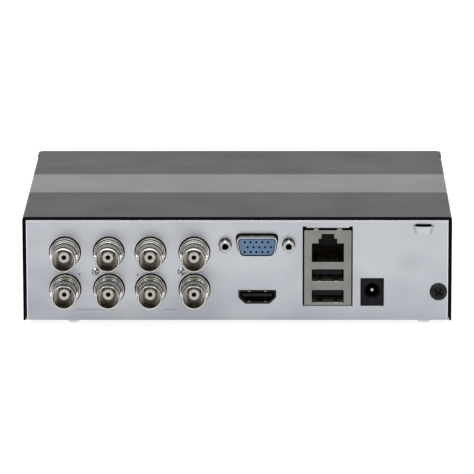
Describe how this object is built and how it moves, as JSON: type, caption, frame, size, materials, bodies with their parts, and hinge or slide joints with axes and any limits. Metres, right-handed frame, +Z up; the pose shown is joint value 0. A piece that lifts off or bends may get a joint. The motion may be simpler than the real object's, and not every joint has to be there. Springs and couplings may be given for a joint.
{
  "type": "dvr recorder",
  "caption": "Compact steel-cased video recorder with coaxial inputs, monitor, network and USB sockets on the rear and a hard drive inside; the cover lifts off.",
  "frame": {"origin": "centre of the overall box, on the surface that the feet stand on", "axes": "+X along the connector panel, -Y out of the connector panel, +Y to the front bezel, +Z up"},
  "size_m": [0.169, 0.139, 0.0442],
  "materials": {
    "zinc_steel": "satin zinc-plated sheet steel",
    "black_paint": "black satin powder coat on sheet steel",
    "black_plastic": "black satin moulding",
    "connector_plastic": "black matte moulding",
    "clear_plastic": "clear moulding, glossy",
    "foot_rubber": "pale grey rubber, matte",
    "black_screw": "black oxide, satin",
    "nickel_plate": "nickel plated, semi-bright",
    "ivory_plastic": "ivory moulding",
    "blue_plastic": "blue moulding",
    "tinned_steel": "tinned or nickel-plated thin steel",
    "circuit_board": "green solder mask over fibreglass",
    "chip_package": "black epoxy",
    "bare_aluminium": "bare aluminium, satin",
    "drive_casting": "cast aluminium, satin",
    "platter_mirror": "polished disc",
    "cable_jacket": "soft vinyl jacket"
  },
  "bodies": {
    "chassis": {"base_chassis": "zinc_steel", "front_bezel": "black_plastic", "bnc_block_left": "connector_plastic", "bnc_block_right": "connector_plastic", "vga_riser": "connector_plastic", "hdmi_tongue": "connector_plastic", "rj45_insert": "connector_plastic", "usb_insert": "connector_plastic", "dc_jack_body": "connector_plastic", "cell_holder": "connector_plastic", "sata_plug": "connector_plastic", "sata_socket": "connector_plastic", "light_pipe": "clear_plastic", "foot_front_left": "foot_rubber", "foot_front_right": "foot_rubber", "foot_rear_left": "foot_rubber", "foot_rear_right": "foot_rubber", "cover_screw": "black_screw", "drive_screw_1": "black_screw", "drive_screw_2": "black_screw", "drive_screw_3": "black_screw", "drive_screw_4": "black_screw", "bnc_shell_1": "nickel_plate", "bnc_shell_2": "nickel_plate", "bnc_shell_3": "nickel_plate", "bnc_shell_4": "nickel_plate", "bnc_shell_5": "nickel_plate", "bnc_shell_6": "nickel_plate", "bnc_shell_7": "nickel_plate", "bnc_shell_8": "nickel_plate", "vga_jackscrew_left": "nickel_plate", "vga_jackscrew_right": "nickel_plate", "dc_jack_pin": "nickel_plate", "bnc_insulator_1": "ivory_plastic", "bnc_insulator_2": "ivory_plastic", "bnc_insulator_3": "ivory_plastic", "bnc_insulator_4": "ivory_plastic", "bnc_insulator_5": "ivory_plastic", "bnc_insulator_6": "ivory_plastic", "bnc_insulator_7": "ivory_plastic", "bnc_insulator_8": "ivory_plastic", "vga_insulator": "blue_plastic", "bnc_block_screw_left": "tinned_steel", "bnc_block_screw_right": "tinned_steel", "vga_shell": "tinned_steel", "hdmi_shell": "tinned_steel", "jack_stack_shield": "tinned_steel", "backup_cell": "tinned_steel", "main_board": "circuit_board", "led_board": "circuit_board", "hdd_board": "circuit_board", "soc_chip": "chip_package", "soc_heatsink": "bare_aluminium", "hdd_lid": "bare_aluminium", "hdd_base": "drive_casting", "front_ribbon": "cable_jacket", "sata_cable": "cable_jacket"},
    "cover": {"top_cover": "black_paint"},
    "platter": {"hdd_platter": "platter_mirror"},
    "actuator": {"hdd_actuator": "bare_aluminium"}
  },
  "joints": [
    {"name": "cover_lift", "type": "slide", "parent": "chassis", "child": "cover", "axis": [0, 0, 1], "range_m": [0, 0.06]},
    {"name": "platter_spin", "type": "hinge", "parent": "chassis", "child": "platter", "pos_m": [-0.045, 0.021, 0.0102], "axis": [0, 0, 1], "continuous": true},
    {"name": "actuator_swing", "type": "hinge", "parent": "chassis", "child": "actuator", "pos_m": [0.004, 0.0351, 0.011], "axis": [0, 0, 1], "range_deg": [-26, 0]}
  ]
}
